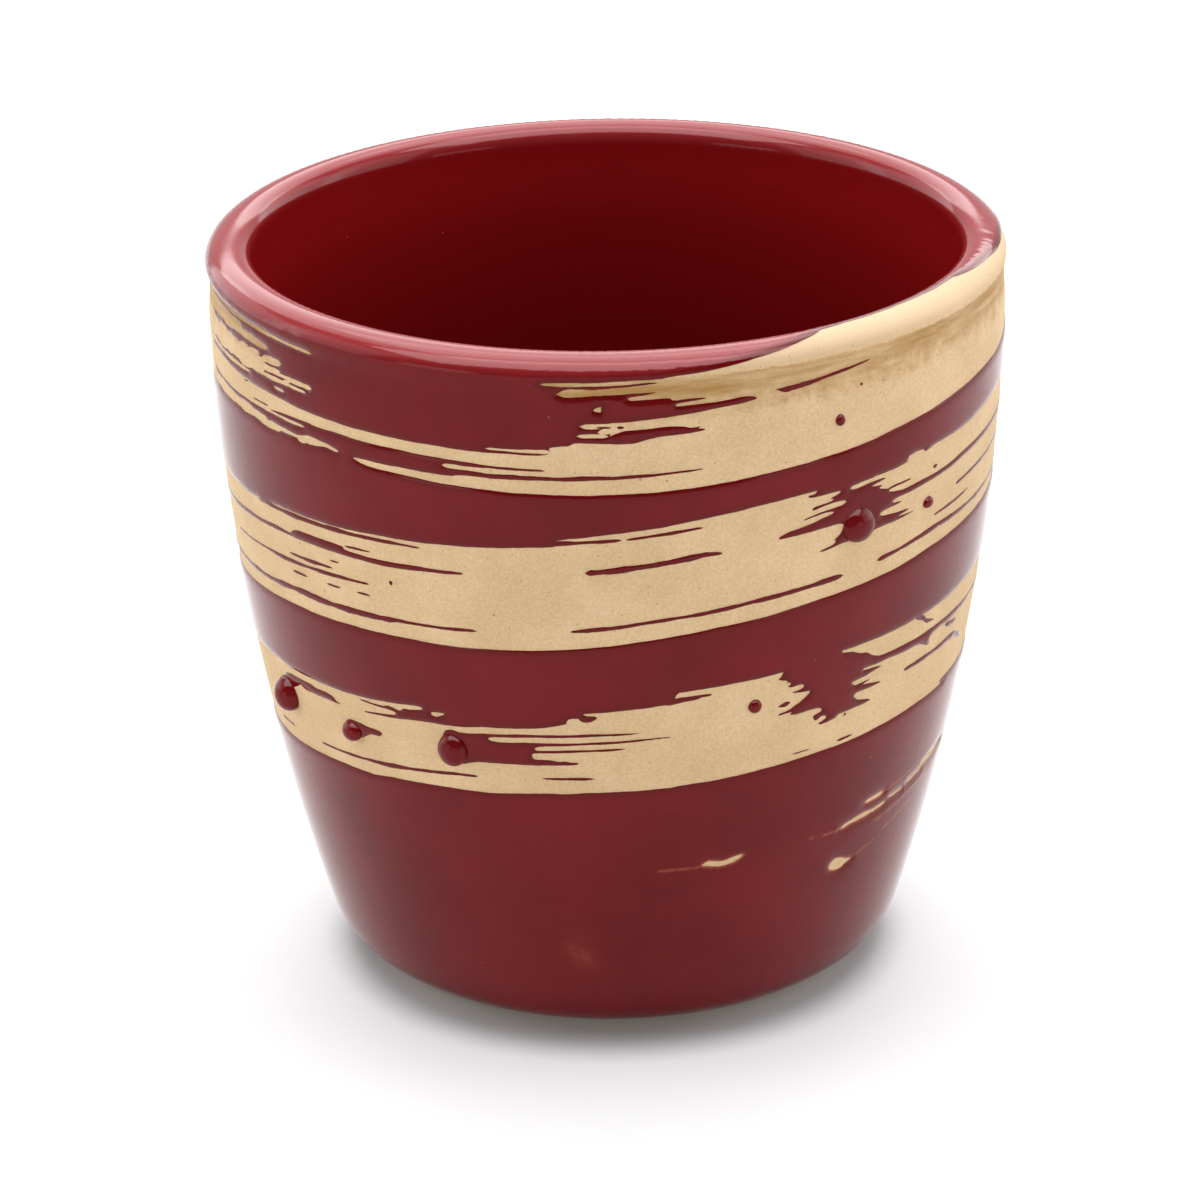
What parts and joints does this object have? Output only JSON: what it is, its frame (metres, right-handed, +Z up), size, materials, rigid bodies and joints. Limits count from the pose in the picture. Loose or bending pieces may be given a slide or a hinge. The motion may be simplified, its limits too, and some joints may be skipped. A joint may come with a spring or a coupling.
{
  "type": "coffee cup",
  "caption": "Handle-less stoneware coffee cup with a bowed wall, round lip and low foot, glossy red glaze and a bare spiral brush stroke.",
  "frame": {"origin": "centre of the foot ring, on the table", "axes": "+Z up along the cup's axis, -Y to the side the picture shows, +X to its right"},
  "size_m": [0.0798, 0.08, 0.0761],
  "materials": {
    "clay": "bare fired stoneware, matt and finely speckled",
    "liner": "deep red gloss glaze",
    "glaze": "dark red gloss glaze"
  },
  "bodies": {
    "root": {"clay_body": "clay", "liner_glaze": "liner", "outer_glaze": "glaze", "low_streak_1": "glaze", "low_streak_2": "glaze", "low_streak_3": "glaze", "low_streak_4": "glaze", "low_streak_5": "glaze", "low_patch": "glaze", "middle_streak_1": "glaze", "middle_streak_2": "glaze", "middle_streak_3": "glaze", "middle_streak_4": "glaze", "middle_streak_5": "glaze", "middle_streak_6": "glaze", "middle_streak_7": "glaze", "top_streak_1": "glaze", "top_streak_2": "glaze", "low_bead_1": "glaze", "low_bead_2": "glaze", "low_bead_3": "glaze", "low_bead_4": "glaze", "middle_bead_1": "glaze", "middle_bead_2": "glaze", "top_bead_1": "glaze"}
  },
  "joints": []
}
